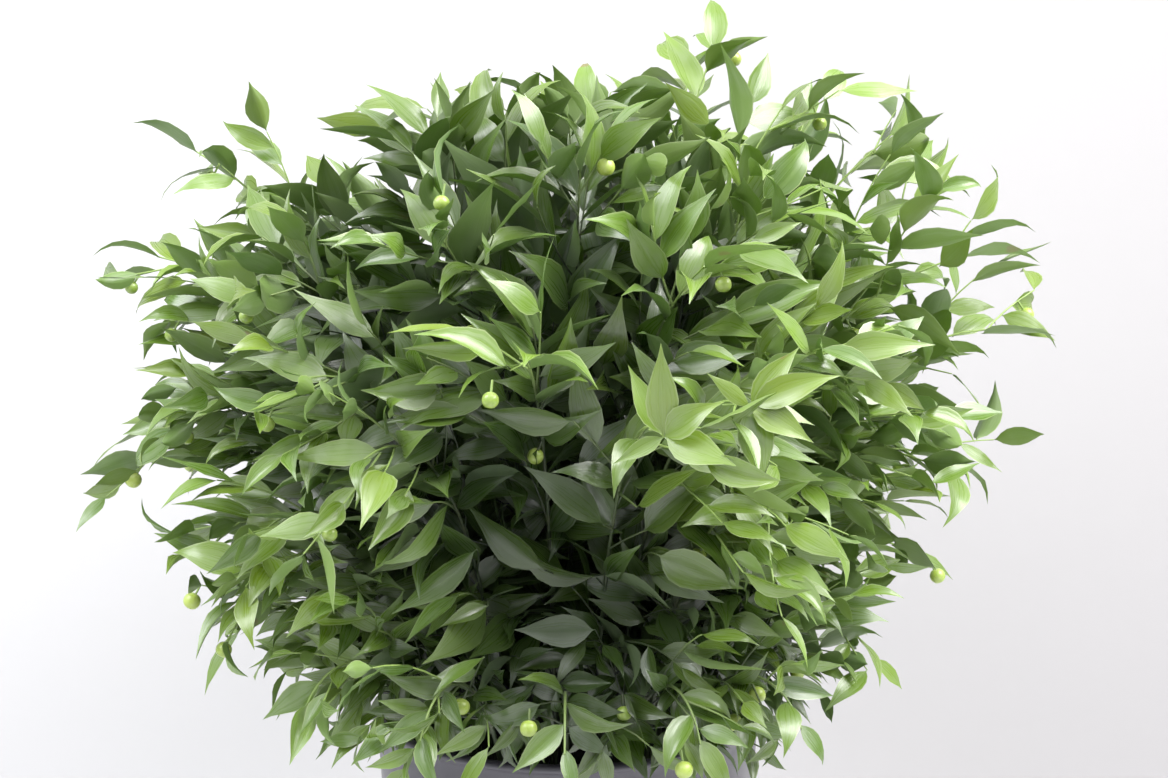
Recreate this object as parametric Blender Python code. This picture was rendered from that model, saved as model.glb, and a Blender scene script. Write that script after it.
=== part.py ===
"""A bunch of leafy ruscus stems standing in a plain round pot of water.

Metres, +Z up. The origin is the centre of the pot's flat foot, and -Y is the side that faces the viewer.
Each leafy stem is one body: the cut stem, its leaves and its berries grow from one another.
"""

import math
import random

import bmesh
import bpy
from mathutils import Matrix, Vector
from mathutils.bvhtree import BVHTree

UP = Vector((0.0, 0.0, 1.0))
TO_VIEWER = Vector((0.0, -1.0, 0.0))

# Pot: a round pot with a slightly tapered wall and a small rolled rim.
POT_HEIGHT = 0.190
FOOT_RADIUS = 0.094
RIM_RADIUS = 0.107
RIM_DEPTH = 0.007
LIP = 0.0022
WALL = 0.0026
POT_FLOOR = 0.004
FOOT_EDGE = 0.003
POT_SIDES = 40

# Water that the cut stems stand in, and the clearance between bodies that touch.
WATER_LEVEL = 0.118
CLEARANCE = 0.0003

# Crown: the rounded mass of foliage above the pot, out to the leaf tips.
CROWN_CENTRE = Vector((0.0, 0.0, 0.360))
CROWN_FOOT = Vector((0.0, 0.0, POT_HEIGHT))
CROWN_RADIUS = 0.232
CROWN_RISE = 0.178
CROWN_DROP = 0.215
LOWEST_COSINE = -0.62
LEAF_REACH = 0.038
GOLDEN_ANGLE = math.pi * (3.0 - math.sqrt(5.0))

# Stems, thick at the cut end and thin at the tip. Each rises out of the water and arches to its sprig.
STEM_COUNT = 53
STANDING_RADIUS = 0.084
STANDING_GAP = 0.0115
SPREADING_ROUNDS = 200
SPRIG_GAP = 0.062
CUT_END_RADIUS = 0.0021
TIP_RADIUS = 0.0011
STEM_SIDES = 3
STEM_RINGS = 7
STEM_CLEARANCE = 0.0052
BARE_ABOVE_WATER = 0.004
RISE_SHARE = 0.36
RISE_BASE = 0.028
LEAST_RISE = 0.110
ARCH_SHARE = 0.30
LEAST_ARCH = 0.050
LIFT_PER_TURN = 1.15
SWING_STEP = math.radians(5.0)
SWINGS = 9

# Leaves, which stand alternately along a stem. Spots are distances back from its tip, and a station is a
# share of the leaf's length with its width and depth there, as shares of the greatest ones.
LEAF_LENGTH = 0.058
LEAF_SIZES = (0.80, 1.16)
END_LEAF_SIZE = 0.80
LEAF_SLENDERNESS = (0.30, 0.42)
LEAF_THICKNESS = 0.0012
LEAF_SPLAY = (34.0, 62.0)
END_LEAF_SPLAY = (14.0, 30.0)
LEAF_RISE = 0.12
LEAF_ROLL = 38.0
LEAF_ARCH = (10.0, 66.0)
LEAF_SWEEP = 0.09
LEAF_TWIST = 22.0
LEAF_SPOTS = (0.003, 0.016, 0.032, 0.050, 0.071, 0.096, 0.125, 0.158, 0.195, 0.235, 0.280)
OUTER_SPOTS = 3
OUTER_STATIONS = ((0.10, 0.46, 1.5), (0.36, 1.0, 1.0), (0.69, 0.62, 1.0))
INNER_STATIONS = ((0.28, 0.98, 1.2), (0.66, 0.68, 1.0))
LEAF_TRIES = 24
LOWEST_LEAF = POT_HEIGHT + 0.006
ROOM = 0.0006

# Berries, one on a short hanging stalk on every third stem.
BERRY_EVERY = 3
BERRY_SIDES = 5
BERRY_RADIUS = 0.0045
BERRY_DROP = 0.0095
BERRY_SPOTS = (0.038, 0.110)
BERRY_TRIES = 60
LOWEST_BERRY = POT_HEIGHT + 0.020
STALK_RADIUS = 0.0008

# Points that the outermost leaves of single sprigs reach: left, top, right, low at the front, and those
# that come towards the viewer.
STRAY_REACHES = (
    (-0.245, 0.120, 0.500),
    (-0.264, 0.060, 0.435),
    (-0.257, -0.020, 0.330),
    (-0.190, -0.100, 0.240),
    (-0.193, -0.050, 0.208),
    (-0.088, -0.020, 0.535),
    (-0.050, 0.030, 0.540),
    (0.016, 0.040, 0.544),
    (0.094, 0.070, 0.578),
    (0.135, 0.010, 0.545),
    (0.206, 0.050, 0.520),
    (0.224, 0.020, 0.482),
    (0.243, -0.040, 0.450),
    (0.276, 0.010, 0.392),
    (0.230, -0.020, 0.310),
    (0.214, 0.000, 0.240),
    (0.178, -0.070, 0.196),
    (-0.140, -0.150, 0.196),
    (-0.075, -0.190, 0.192),
    (0.000, -0.205, 0.190),
    (0.070, -0.195, 0.192),
    (0.125, -0.165, 0.190),
    (0.053, -0.235, 0.370),
    (0.100, -0.220, 0.385),
    (-0.024, -0.225, 0.415),
    (-0.110, -0.205, 0.350),
)

# The shaded hollow low on the side that faces the viewer, where few stems reach out.
HOLLOW_TOWARDS = Vector((0.02, -0.95, -0.32)).normalized()
HOLLOW_HALF_ANGLE = math.radians(20.0)


def clear_scene():
    for obj in list(bpy.data.objects):
        bpy.data.objects.remove(obj)


def material(name, colour, roughness, metallic=0.0):
    made = bpy.data.materials.new(name)
    made.use_nodes = True
    shader = made.node_tree.nodes["Principled BSDF"]
    shader.inputs["Base Color"].default_value = (*colour, 1.0)
    shader.inputs["Roughness"].default_value = roughness
    shader.inputs["Metallic"].default_value = metallic
    return made


def object_of(name, bm, finish):
    mesh = bpy.data.meshes.new(name)
    bm.to_mesh(mesh)
    bm.free()
    mesh.materials.append(finish)
    obj = bpy.data.objects.new(name, mesh)
    bpy.context.scene.collection.objects.link(obj)
    return obj


def turned(profile, sides):
    """A closed solid turned round the Z axis from a profile of (radius, height) points, from axis to axis."""
    bm = bmesh.new()
    points = [bm.verts.new((radius, 0.0, height)) for radius, height in profile]
    edges = [bm.edges.new(pair) for pair in zip(points, points[1:])]
    bmesh.ops.spin(
        bm,
        geom=points + edges,
        axis=(0.0, 0.0, 1.0),
        cent=(0.0, 0.0, 0.0),
        angle=math.tau,
        steps=sides,
        use_merge=True,
    )
    bmesh.ops.remove_doubles(bm, verts=bm.verts, dist=1e-6)
    bmesh.ops.recalc_face_normals(bm, faces=bm.faces)
    return bm


# The pot


def wall_radius(height):
    """Outer radius of the pot's wall at a height."""
    return FOOT_RADIUS + (RIM_RADIUS - LIP - FOOT_RADIUS) * height / POT_HEIGHT


def make_pot(finish):
    rim_foot = POT_HEIGHT - RIM_DEPTH
    profile = [
        (0.0, 0.0),
        (FOOT_RADIUS - FOOT_EDGE, 0.0),
        (wall_radius(FOOT_EDGE), FOOT_EDGE),
        (wall_radius(rim_foot), rim_foot),
        (RIM_RADIUS, rim_foot + LIP),
        (RIM_RADIUS, POT_HEIGHT - LIP / 2),
        (RIM_RADIUS - LIP / 2, POT_HEIGHT),
        (wall_radius(POT_HEIGHT) - WALL, POT_HEIGHT),
        (wall_radius(POT_FLOOR) - WALL, POT_FLOOR),
        (0.0, POT_FLOOR),
    ]
    pot = object_of("pot", turned(profile, POT_SIDES), finish)
    pot.data.shade_smooth()
    pot.data.set_sharp_from_angle(angle=math.radians(35))
    return pot


# Where the stems stand, and where they reach to


def crown_point(cosine, turn):
    """A point on the crown's surface, by the cosine of its angle from the vertical and its turn."""
    ring = math.sqrt(1.0 - cosine * cosine) * CROWN_RADIUS
    height = cosine * (CROWN_RISE if cosine > 0.0 else CROWN_DROP)
    return CROWN_CENTRE + Vector((ring * math.cos(turn), ring * math.sin(turn), height))


def polar_of(reach):
    """The angle of a point of the crown from the vertical, as if the crown were a ball."""
    away = reach - CROWN_CENTRE
    tall = CROWN_RISE if away.z > 0.0 else CROWN_DROP
    return math.atan2(math.hypot(away.x, away.y), away.z * CROWN_RADIUS / tall)


def heading_at(reach):
    """The direction that a sprig points in where it ends."""
    outward = Vector((reach.x, reach.y, 0.0)).normalized()
    lift = math.radians(90.0) - LIFT_PER_TURN * polar_of(reach)
    return outward * math.cos(lift) + UP * math.sin(lift)


def in_hollow(reach):
    away = (reach - CROWN_CENTRE).normalized()
    return away.angle(HOLLOW_TOWARDS) < HOLLOW_HALF_ANGLE


def sprig_reaches():
    """The stray sprigs first, then sprigs spread evenly over the rest of the crown."""
    spread = STEM_COUNT - len(STRAY_REACHES)
    while True:
        found = [Vector(reach) for reach in STRAY_REACHES]
        for k in range(spread):
            cosine = 1.0 - (1.0 - LOWEST_COSINE) * (k + 0.5) / spread
            reach = crown_point(cosine, k * GOLDEN_ANGLE)
            nearest = min((reach - other).length for other in found)
            if nearest > SPRIG_GAP and not in_hollow(reach):
                found.append(reach)
        if len(found) >= STEM_COUNT:
            return found[:STEM_COUNT]
        spread += 1


def standing_points(reaches):
    """Where each stem stands in the pot: upright stems in the middle, spreading ones near the wall."""
    order = sorted(range(len(reaches)), key=lambda k: polar_of(reaches[k]))
    points = [None] * len(reaches)
    for rank, k in enumerate(order):
        ring = STANDING_RADIUS * math.sqrt((rank + 0.5) / len(reaches))
        turn = math.atan2(reaches[k].y, reaches[k].x)
        points[k] = Vector((ring * math.cos(turn), ring * math.sin(turn)))
    for _ in range(SPREADING_ROUNDS):
        for i, a in enumerate(points):
            for b in points[i + 1 :]:
                apart = a - b
                short = STANDING_GAP - apart.length
                if short > 0:
                    push = apart.normalized() * short * 0.5
                    a += push
                    b -= push
        for point in points:
            if point.length > STANDING_RADIUS:
                point *= STANDING_RADIUS / point.length
    return points


def bezier(a, b, c, d, t):
    u = 1.0 - t
    return a * u**3 + b * (3 * u * u * t) + c * (3 * u * t * t) + d * t**3


def stem_route(stand, reach, swing):
    """Points of one stem from the cut end up: straight in the water, then one smooth arching curve."""
    foot = Vector((stand.x, stand.y, POT_FLOOR + CLEARANCE))
    surface = Vector((stand.x, stand.y, WATER_LEVEL + BARE_ABOVE_WATER))
    heading = heading_at(reach)
    tip = reach - heading * LEAF_REACH
    span = (tip - surface).length
    rise = surface + UP * max(RISE_SHARE * span + RISE_BASE, LEAST_RISE)
    bend = tip - heading * max(ARCH_SHARE * span, LEAST_ARCH)
    bend = CROWN_CENTRE + Matrix.Rotation(swing, 3, "Z") @ (bend - CROWN_CENTRE)
    curve = [bezier(surface, rise, bend, tip, k / STEM_RINGS) for k in range(STEM_RINGS + 1)]
    return [foot] + curve


def route_gap(points, others):
    """Least distance between the points of two routes."""
    return min((a - b).length for a in points for b in others)


def close_points(route):
    """Points along a route above the water, close enough together to measure its gaps to other routes."""
    above = route[1:]
    return [a.lerp(b, k / 8) for a, b in zip(above, above[1:]) for k in range(8)]


def stem_routes():
    """The route of every stem, each swung a little sideways where it would touch an earlier one."""
    reaches = sprig_reaches()
    stands = standing_points(reaches)
    routes, measured = [], []
    for stand, reach in zip(stands, reaches):
        best = None
        for step in range(SWINGS):
            swing = SWING_STEP * ((step + 1) // 2) * (1 if step % 2 else -1)
            route = stem_route(stand, reach, swing)
            points = close_points(route)
            gap = min((route_gap(points, other) for other in measured), default=1.0)
            if best is None or gap > best[0]:
                best = (gap, route, points)
            if gap > STEM_CLEARANCE:
                break
        routes.append(best[1])
        measured.append(best[2])
    return routes


def stem_radius(share):
    return CUT_END_RADIUS + (TIP_RADIUS - CUT_END_RADIUS) * share


def stem_frames(route):
    """Tangent and two sides at each point of a route, carried along it without twisting."""
    frames, side = [], Vector((1.0, 0.0, 0.0))
    for k, point in enumerate(route):
        before = route[max(k - 1, 0)]
        after = route[min(k + 1, len(route) - 1)]
        along = (after - before).normalized() if k > 1 else UP
        side = (side - along * side.dot(along)).normalized()
        frames.append((along, side, along.cross(side)))
    return frames


def add_stem(bm, route, extra=0.0):
    """The stem as a closed tube with a few flat sides."""
    rings = []
    for k, (point, (_, side, other)) in enumerate(zip(route, stem_frames(route))):
        radius = stem_radius(max(k - 1, 0) / STEM_RINGS) + extra
        ring = []
        for corner in range(STEM_SIDES):
            turn = math.tau * corner / STEM_SIDES
            ring.append(bm.verts.new(point + (side * math.cos(turn) + other * math.sin(turn)) * radius))
        rings.append(ring)
    for low, high in zip(rings, rings[1:]):
        for k in range(STEM_SIDES):
            after = (k + 1) % STEM_SIDES
            bm.faces.new((low[k], low[after], high[after], high[k]))
    bm.faces.new(reversed(rings[0]))
    bm.faces.new(rings[-1])


# Leaves


def leaf_rib(leaf, share):
    """A point of the rib, and the directions across and up from it: a leaf arches, sweeps and twists."""
    bend = leaf["arch"] * share**1.5
    reach = leaf["length"] * share
    point = (
        leaf["root"]
        + leaf["along"] * (reach * math.cos(0.4 * bend))
        - leaf["up"] * (reach * math.sin(0.4 * bend))
        + leaf["side"] * (leaf["sweep"] * leaf["length"] * share * share)
    )
    up = leaf["along"] * math.sin(bend) + leaf["up"] * math.cos(bend)
    twist = leaf["twist"] * share
    across = leaf["side"] * math.cos(twist) + up * math.sin(twist)
    lifted = up * math.cos(twist) - leaf["side"] * math.sin(twist)
    return point, across, lifted


def add_leaf(bm, leaf, extra=0.0):
    """One blade, flat above and keeled below, pointed at the tip and with its foot on the stem's axis."""
    rows = []
    for share, width, depth in leaf["stations"]:
        point, across, up = leaf_rib(leaf, share)
        half = leaf["width"] / 2 * width
        left = bm.verts.new(point - across * (half + extra) + up * extra)
        right = bm.verts.new(point + across * (half + extra) + up * extra)
        rows.append((left, right, bm.verts.new(point - up * (LEAF_THICKNESS * depth + extra)), up))
    foot = bm.verts.new(leaf["root"])
    tip = bm.verts.new(leaf_rib(leaf, 1.0)[0] + leaf["along"] * extra)
    for (left, right, keel, up), (far_left, far_right, far_keel, _) in zip(rows, rows[1:]):
        add_split(bm, left, right, far_right, far_left, up)
        add_split(bm, keel, left, far_left, far_keel, -up)
        add_split(bm, right, keel, far_keel, far_right, -up)
    for end, (left, right, keel, _) in ((foot, rows[0]), (tip, rows[-1])):
        for a, b in ((left, right), (keel, left), (right, keel)):
            bm.faces.new((a, b, end) if end is tip else (b, a, end))


def add_split(bm, a, b, c, d, out):
    """Two triangles for a four-cornered patch, split along the diagonal that stands further out."""
    if (a.co + c.co - b.co - d.co).dot(out) >= 0.0:
        bm.faces.new((a, b, c))
        bm.faces.new((a, c, d))
    else:
        bm.faces.new((a, b, d))
        bm.faces.new((b, c, d))


def back_from_tip(route, distance):
    """The point at a distance back along a stem from its tip, no further down than the water."""
    for near, far in zip(route[:0:-1], route[-2:0:-1]):
        step = (near - far).length
        if distance <= step:
            return near.lerp(far, distance / step)
        distance -= step
    return route[1].copy()


def direction_at(route, distance):
    """The stem's direction near a point, averaged over a short stretch."""
    ahead = back_from_tip(route, max(distance - 0.012, 0.0))
    return (ahead - back_from_tip(route, distance + 0.012)).normalized()


def leaf_at(rng, route, rank, distance):
    """A leaf drawn at random for one place on a stem: alternate, splayed, away from the pot, arching over."""
    root = back_from_tip(route, distance)
    tangent = direction_at(route, distance)
    outward = (root - CROWN_CENTRE).normalized()
    light = (UP * 0.8 + outward * 0.35).normalized()
    above = light - tangent * light.dot(tangent)
    if above.length < 0.25:
        above = TO_VIEWER - tangent * TO_VIEWER.dot(tangent)
    above.normalize()
    hand = 1.0 if rank % 2 else -1.0
    lean = rng.uniform(-1.0, 1.0) * math.radians(30.0 + 70.0 * max(tangent.z, 0.0) ** 2)
    around = tangent.cross(above) * (hand * math.cos(lean)) + above * math.sin(lean)
    splay = math.radians(rng.uniform(*(LEAF_SPLAY if rank else END_LEAF_SPLAY)))
    spread = (root - CROWN_FOOT).normalized()
    along = (tangent * math.cos(splay) + around * math.sin(splay) + spread * LEAF_RISE).normalized()
    face = light * 0.9 + outward * 0.5
    up = face - along * face.dot(along)
    if up.length < 0.2:
        up = above - along * above.dot(along)
    up = Matrix.Rotation(math.radians(rng.uniform(-LEAF_ROLL, LEAF_ROLL)), 3, along) @ up.normalized()
    length = LEAF_LENGTH * (1.0 if rank else END_LEAF_SIZE) * rng.uniform(*LEAF_SIZES)
    return {
        "root": root,
        "along": along,
        "up": up,
        "side": along.cross(up),
        "length": length,
        "width": length * rng.uniform(*LEAF_SLENDERNESS),
        "arch": math.radians(rng.uniform(*LEAF_ARCH)),
        "sweep": rng.uniform(-LEAF_SWEEP, LEAF_SWEEP),
        "twist": math.radians(rng.uniform(-LEAF_TWIST, LEAF_TWIST)),
        "stations": OUTER_STATIONS if rank < OUTER_SPOTS else INNER_STATIONS,
    }


# Room between the pieces


def tree_of(add, *shape):
    """A search tree of one shape, made by its own function, to find what would cross it."""
    bm = bmesh.new()
    add(bm, *shape)
    bmesh.ops.triangulate(bm, faces=bm.faces)
    tree = BVHTree.FromBMesh(bm)
    bm.free()
    return tree


def stem_trees(routes):
    return [tree_of(add_stem, route, CLEARANCE) for route in routes]


def placed_leaves(routes, pot):
    """Leaves for every stem, tips first, each drawn again until it is clear of all that is there already."""
    stems = stem_trees(routes)
    pot_tree = tree_of(bmesh.types.BMesh.from_mesh, pot.data)
    grown = [[] for _ in routes]
    standing = []
    for rank, distance in enumerate(LEAF_SPOTS):
        for k, route in enumerate(routes):
            if back_from_tip(route, distance).z < LOWEST_LEAF:
                continue
            rng = random.Random(1000 * k + rank)
            for _ in range(LEAF_TRIES):
                leaf = leaf_at(rng, route, rank, distance)
                tree = tree_of(add_leaf, leaf, ROOM)
                middle = leaf_rib(leaf, 0.5)[0]
                span = leaf["length"] * 1.6
                near = [other for spot, other in standing if (spot - middle).length < span]
                if not any(tree.overlap(other) for other in near + stems[:k] + stems[k + 1 :] + [pot_tree]):
                    grown[k].append(leaf)
                    standing.append((middle, tree_of(add_leaf, leaf)))
                    break
    return grown


# Berries


def add_berry(bm, start, middle, extra=0.0):
    """A berry with its stalk: one few-sided solid that starts in a point on the stem's axis."""
    along = (middle - start).normalized()
    side = along.orthogonal().normalized()
    other = along.cross(side)
    round_half = 0.45 * BERRY_RADIUS
    profile = (
        (-0.95 * BERRY_RADIUS, STALK_RADIUS),
        (-round_half, 0.89 * BERRY_RADIUS),
        (round_half, 0.89 * BERRY_RADIUS),
    )
    turns = [math.tau * corner / BERRY_SIDES for corner in range(BERRY_SIDES)]
    spokes = [side * math.cos(turn) + other * math.sin(turn) for turn in turns]
    rings = []
    for offset, radius in profile:
        centre = middle + along * offset
        rings.append([bm.verts.new(centre + spoke * (radius + extra)) for spoke in spokes])
    foot = bm.verts.new(start)
    end = bm.verts.new(middle + along * (BERRY_RADIUS + extra))
    for k in range(BERRY_SIDES):
        after = (k + 1) % BERRY_SIDES
        bm.faces.new((foot, rings[0][after], rings[0][k]))
        for near, far in zip(rings, rings[1:]):
            bm.faces.new((near[k], near[after], far[after], far[k]))
        bm.faces.new((rings[-1][k], rings[-1][after], end))


def berry_at(rng, route):
    """Where a berry hangs: a place on the stem between two leaves, and the berry's middle below it."""
    start = back_from_tip(route, rng.uniform(*BERRY_SPOTS))
    turn = rng.uniform(0.0, math.tau)
    away = Vector((math.cos(turn) * 0.55, math.sin(turn) * 0.55, -1.0)).normalized()
    return start, start + away * BERRY_DROP


def placed_berries(routes, leaves):
    """One berry for every third stem, clear of every leaf and of every other stem."""
    stems = stem_trees(routes)
    blades = [tree_of(add_leaf, leaf) for own in leaves for leaf in own]
    grown = [None] * len(routes)
    for k in range(0, len(routes), BERRY_EVERY):
        rng = random.Random(7000 + k)
        for _ in range(BERRY_TRIES):
            start, middle = berry_at(rng, routes[k])
            tree = tree_of(add_berry, start.lerp(middle, 0.2), middle, ROOM)
            others = stems[:k] + stems[k + 1 :] + blades
            if start.z > LOWEST_BERRY and not any(tree.overlap(other) for other in others):
                grown[k] = (start, middle)
                break
    return grown


# Each stem and the water as bodies


def after_boolean(obj, operand, operation, solver):
    """Joins the operand to an object, or cuts it away, and removes the operand."""
    step = obj.modifiers.new("step", "BOOLEAN")
    step.operation = operation
    step.solver = solver
    step.object = operand
    graph = bpy.context.evaluated_depsgraph_get()
    result = bpy.data.meshes.new_from_object(obj.evaluated_get(graph))
    obj.modifiers.clear()
    obj.data = result
    bpy.data.objects.remove(operand)


def make_stem(number, route, leaves, berry, finish):
    """One leafy stem, its leaves and berry joined to it as they grew."""
    bm = bmesh.new()
    add_stem(bm, route)
    stem = object_of(f"leafy_stem_{number:02d}", bm, finish)
    bm = bmesh.new()
    for leaf in leaves:
        add_leaf(bm, leaf)
    if berry:
        add_berry(bm, *berry)
    after_boolean(stem, object_of("leaves_and_berry", bm, finish), "UNION", "MANIFOLD")


def make_water(routes, finish):
    """The water in the pot, with a plain hole round each stem."""
    foot = POT_FLOOR + CLEARANCE
    inset = WALL + 1.5 * CLEARANCE
    profile = [
        (0.0, foot),
        (wall_radius(foot) - inset, foot),
        (wall_radius(WATER_LEVEL) - inset, WATER_LEVEL),
        (0.0, WATER_LEVEL),
    ]
    water = object_of("water", turned(profile, POT_SIDES), finish)
    bm = bmesh.new()
    below = UP * -0.002
    for route in routes:
        add_stem(bm, [route[0] + below, route[1]], 2.0 * CLEARANCE)
    after_boolean(water, object_of("holes", bm, finish), "DIFFERENCE", "EXACT")


def main():
    clear_scene()
    leaf_green = material("leaf green", (0.10, 0.22, 0.06), 0.42)
    pot_grey = material("pot grey", (0.085, 0.080, 0.095), 0.45)
    water_clear = material("water", (0.55, 0.62, 0.60), 0.05)
    pot = make_pot(pot_grey)
    routes = stem_routes()
    make_water(routes, water_clear)
    leaves = placed_leaves(routes, pot)
    berries = placed_berries(routes, leaves)
    for number, (route, own, berry) in enumerate(zip(routes, leaves, berries), 1):
        make_stem(number, route, own, berry, leaf_green)


main()
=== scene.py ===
"""The looks of a bunch of fresh leafy ruscus stems that stand in a round pot of water.

Metres, +Z up, in the frame's own coordinates. The sections follow the bunch as it is put together: the pot,
its water, the stems, their leaves, the side shoots and the berries, and then the studio round it.
"""

import itertools
import math
import random

import bmesh
import bpy
from mathutils import Matrix, Vector
from mathutils.bvhtree import BVHTree
from mathutils.kdtree import KDTree


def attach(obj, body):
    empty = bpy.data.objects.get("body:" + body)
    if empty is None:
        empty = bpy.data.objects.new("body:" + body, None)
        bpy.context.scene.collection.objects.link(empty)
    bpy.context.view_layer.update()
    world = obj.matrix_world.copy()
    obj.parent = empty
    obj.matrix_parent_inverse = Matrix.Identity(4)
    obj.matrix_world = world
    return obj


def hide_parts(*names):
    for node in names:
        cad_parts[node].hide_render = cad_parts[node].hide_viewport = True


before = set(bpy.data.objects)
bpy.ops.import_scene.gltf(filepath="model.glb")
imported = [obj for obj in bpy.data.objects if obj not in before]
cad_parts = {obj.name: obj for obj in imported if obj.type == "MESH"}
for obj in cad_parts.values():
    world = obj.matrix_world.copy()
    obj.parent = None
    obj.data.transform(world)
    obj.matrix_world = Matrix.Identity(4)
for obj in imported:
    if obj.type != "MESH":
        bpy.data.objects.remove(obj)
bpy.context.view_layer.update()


# The pot: one round dark pot, moulded in a single piece with a slightly tapered wall and a rolled rim. The
# same satin skin runs over all of it, inside and out, with fine grain and a little dust low on the wall.

POT_HEIGHT = 0.190
FOOT_RADIUS = 0.094
RIM_RADIUS = 0.107
RIM_DEPTH = 0.007
LIP = 0.0022
WALL = 0.0026
POT_FLOOR = 0.004
FOOT_EDGE = 0.003
WALL_HEIGHTS = (0.060, 0.120)
RIM_STEP = 0.003
RIM_FLARE = 0.0006
LIP_ROUNDING = 0.0012
LIP_DROP = 0.0022
FLOOR_ROUNDING = 0.006
POT_STEPS = 128
POT_DARK = (0.034, 0.031, 0.041, 1.0)
POT_PALE = (0.047, 0.044, 0.056, 1.0)
DUST = (0.30, 0.28, 0.27, 1.0)
DUST_UP_TO = 0.06
DUST_SHARE = 0.16
RIM_CREASE = math.radians(50.0)


def wall_radius(height):
    """Outer radius of the pot's wall at a height."""
    return FOOT_RADIUS + (RIM_RADIUS - LIP - FOOT_RADIUS) * height / POT_HEIGHT


def arc(centre, radius, start, end, count):
    """Points of a round corner in a (radius, height) profile, between two angles in degrees."""
    angles = [math.radians(start + (end - start) * k / count) for k in range(count + 1)]
    return [(centre[0] + radius * math.cos(a), centre[1] + radius * math.sin(a)) for a in angles]


def pot_profile():
    """The pot's wall: up the outside from the foot's middle, over the rim and down to the inner floor."""
    rim_foot = POT_HEIGHT - RIM_DEPTH
    bead = RIM_DEPTH / 2
    inner_top = wall_radius(POT_HEIGHT) - WALL
    inner_floor = wall_radius(POT_FLOOR) - WALL
    return [
        (0.0, 0.0),
        *arc((FOOT_RADIUS - FOOT_EDGE, FOOT_EDGE), FOOT_EDGE, -90, -2, 5),
        *((wall_radius(height), height) for height in WALL_HEIGHTS),
        (wall_radius(rim_foot - RIM_STEP), rim_foot - RIM_STEP),
        (wall_radius(rim_foot) + RIM_FLARE, rim_foot),
        *arc((RIM_RADIUS - bead * 0.55, POT_HEIGHT - bead), bead * 0.62, -60, 90, 8),
        *arc((inner_top + LIP_ROUNDING, POT_HEIGHT - LIP_DROP), LIP_ROUNDING, 90, 180, 3),
        *arc((inner_floor - FLOOR_ROUNDING, POT_FLOOR + FLOOR_ROUNDING), FLOOR_ROUNDING, 0, -90, 4),
        (0.0, POT_FLOOR),
    ]


def object_of(name, bm, *finishes):
    """A finished bmesh as an object at the origin."""
    mesh = bpy.data.meshes.new(name)
    bm.to_mesh(mesh)
    bm.free()
    for finish in finishes:
        mesh.materials.append(finish)
    obj = bpy.data.objects.new(name, mesh)
    bpy.context.scene.collection.objects.link(obj)
    return obj


def set_inputs(tree, node, inputs):
    """Links each named input of a node to a socket, or sets it to a value."""
    for name, value in inputs.items():
        if isinstance(value, bpy.types.NodeSocket):
            tree.links.new(value, node.inputs[name])
        else:
            node.inputs[name].default_value = value


def node_of(tree, kind, inputs=None, **settings):
    """A shader node with its settings and its inputs."""
    node = tree.nodes.new(kind)
    for name, value in settings.items():
        setattr(node, name, value)
    set_inputs(tree, node, inputs or {})
    return node


def mixed(tree, factor, low, high):
    """A colour mix, by a factor that is a socket or a value."""
    inputs = {0: factor, 6: low, 7: high}
    return node_of(tree, "ShaderNodeMix", inputs, data_type="RGBA", clamp_factor=True).outputs[2]


def ranged(tree, value, low, high, to_low=0.0, to_high=1.0):
    """A value moved from one range to another, with its ends held and a smooth step between."""
    inputs = {"Value": value, "From Min": low, "From Max": high, "To Min": to_low, "To Max": to_high}
    node = node_of(tree, "ShaderNodeMapRange", inputs, interpolation_type="SMOOTHSTEP")
    return node.outputs["Result"]


def calculated(tree, operation, a, b=0.0):
    """The result of one sum on two sockets or values."""
    return node_of(tree, "ShaderNodeMath", {0: a, 1: b}, operation=operation).outputs[0]


def own_place(tree):
    """The place of a point in its piece's own coordinates."""
    return node_of(tree, "ShaderNodeTexCoord").outputs["Object"]


def noise(tree, place, scale, detail):
    """Cloudy noise of a scale, from 0 to 1."""
    inputs = {"Vector": place, "Scale": scale, "Detail": detail}
    return node_of(tree, "ShaderNodeTexNoise", inputs).outputs["Fac"]


def relief(tree, skin, height, strength, depth):
    """Gives a shader a fine relief."""
    inputs = {"Height": height, "Strength": strength, "Distance": depth}
    tree.links.new(node_of(tree, "ShaderNodeBump", inputs).outputs["Normal"], skin.inputs["Normal"])


def new_material(name):
    """A material with an empty tree, its Principled shader and its output."""
    made = bpy.data.materials.new(name)
    made.use_nodes = True
    tree = made.node_tree
    return made, tree, tree.nodes["Principled BSDF"], tree.nodes["Material Output"]


def pot_finish():
    made, tree, skin, _ = new_material("pot_satin_grey")
    place = own_place(tree)
    height = node_of(tree, "ShaderNodeSeparateXYZ", {0: place}).outputs["Z"]
    clouds = noise(tree, place, 38.0, 4.0)
    low = ranged(tree, height, DUST_UP_TO, 0.0)
    dust = calculated(tree, "MULTIPLY", low, ranged(tree, clouds, 0.42, 0.66))
    grey = mixed(tree, ranged(tree, clouds, 0.3, 0.7), POT_DARK, POT_PALE)
    colour = mixed(tree, calculated(tree, "MULTIPLY", dust, DUST_SHARE), grey, DUST)
    rough = ranged(tree, clouds, 0.25, 0.75, 0.34, 0.46)
    set_inputs(tree, skin, {"Base Color": colour, "Roughness": rough})
    relief(tree, skin, noise(tree, place, 1400.0, 2.0), 0.12, 0.0002)
    return made


def turned(profile, steps):
    """A closed shape turned round the Z axis from a profile that starts and ends on the axis."""
    bm = bmesh.new()
    points = [bm.verts.new((radius, 0.0, height)) for radius, height in profile]
    edges = [bm.edges.new(pair) for pair in zip(points, points[1:])]
    bmesh.ops.spin(
        bm, geom=points + edges, axis=(0, 0, 1), cent=(0, 0, 0), angle=math.tau, steps=steps, use_merge=True
    )
    bmesh.ops.remove_doubles(bm, verts=bm.verts, dist=1e-6)
    bmesh.ops.recalc_face_normals(bm, faces=bm.faces)
    return bm


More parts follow.
